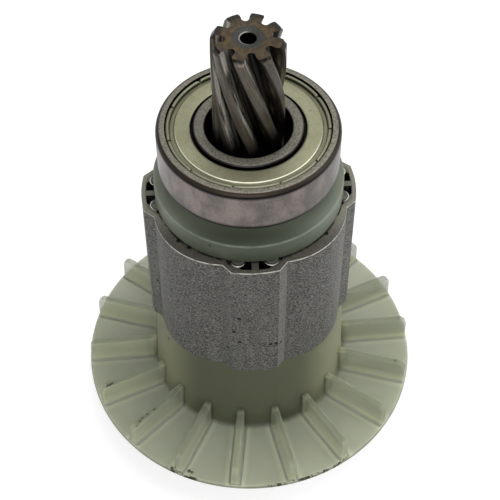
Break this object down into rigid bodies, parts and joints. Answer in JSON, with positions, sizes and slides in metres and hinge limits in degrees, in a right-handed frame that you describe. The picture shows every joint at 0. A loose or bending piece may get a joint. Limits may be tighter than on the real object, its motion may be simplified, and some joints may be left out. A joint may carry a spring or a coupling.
{
  "type": "motor armature",
  "caption": "Permanent-magnet rotor of a power tool motor: helical pinion shaft with ball bearings at both ends, laminated core with magnets, end plate and plastic fan.",
  "frame": {"origin": "centre of the rear bearing's lower face, which the part stands on", "axes": "+Z along the shaft towards the pinion, +X and +Y across the shaft; a core lobe lies 3.5 degrees from +X"},
  "size_m": [0.0666, 0.0666, 0.0961],
  "materials": {
    "shaft_steel": "ground and cut steel with a brown film",
    "core_steel": "ground edges of thin sheets, fine horizontal lines",
    "magnet": "nickel plated, semi-gloss",
    "plate_plastic": "grey-green glass-filled plastic, satin",
    "fan_plastic": "pale yellow-green translucent plastic, satin",
    "bearing_steel": "ground steel, satin",
    "shield_steel": "pressed sheet steel, dull",
    "cage_steel": "pressed sheet steel, dull",
    "ball_steel": "polished"
  },
  "bodies": {
    "rotor": {"shaft": "shaft_steel", "rotor_core": "core_steel", "magnet_1": "magnet", "magnet_2": "magnet", "magnet_3": "magnet", "magnet_4": "magnet", "front_end_plate": "plate_plastic", "fan": "fan_plastic", "front_bearing_inner_ring": "bearing_steel", "rear_bearing_inner_ring": "bearing_steel"},
    "front_outer": {"front_bearing_outer_ring": "bearing_steel", "front_bearing_upper_shield": "shield_steel", "front_bearing_lower_shield": "shield_steel"},
    "front_cage": {"front_bearing_upper_cage": "cage_steel", "front_bearing_lower_cage": "cage_steel", "front_bearing_cage_rivets": "cage_steel", "front_bearing_ball_1": "ball_steel", "front_bearing_ball_2": "ball_steel", "front_bearing_ball_3": "ball_steel", "front_bearing_ball_4": "ball_steel", "front_bearing_ball_5": "ball_steel", "front_bearing_ball_6": "ball_steel", "front_bearing_ball_7": "ball_steel", "front_bearing_ball_8": "ball_steel", "front_bearing_ball_9": "ball_steel"},
    "rear_outer": {"rear_bearing_outer_ring": "bearing_steel", "rear_bearing_upper_shield": "shield_steel", "rear_bearing_lower_shield": "shield_steel"},
    "rear_cage": {"rear_bearing_upper_cage": "cage_steel", "rear_bearing_lower_cage": "cage_steel", "rear_bearing_cage_rivets": "cage_steel", "rear_bearing_ball_1": "ball_steel", "rear_bearing_ball_2": "ball_steel", "rear_bearing_ball_3": "ball_steel", "rear_bearing_ball_4": "ball_steel", "rear_bearing_ball_5": "ball_steel", "rear_bearing_ball_6": "ball_steel", "rear_bearing_ball_7": "ball_steel"}
  },
  "joints": [
    {"name": "front_bearing_turn", "type": "hinge", "parent": "rotor", "child": "front_outer", "pos_m": [0, 0, 0.0715], "axis": [0, 0, 1], "continuous": true},
    {"name": "front_cage_turn", "type": "hinge", "parent": "rotor", "child": "front_cage", "pos_m": [0, 0, 0.0715], "axis": [0, 0, 1], "continuous": true},
    {"name": "rear_bearing_turn", "type": "hinge", "parent": "rotor", "child": "rear_outer", "pos_m": [0, 0, 0.004], "axis": [0, 0, 1], "continuous": true},
    {"name": "rear_cage_turn", "type": "hinge", "parent": "rotor", "child": "rear_cage", "pos_m": [0, 0, 0.004], "axis": [0, 0, 1], "continuous": true}
  ],
  "couplings": [
    {"joint": "front_cage_turn", "follows": "front_bearing_turn", "ratio": 0.6013},
    {"joint": "rear_cage_turn", "follows": "rear_bearing_turn", "ratio": 0.6323}
  ]
}
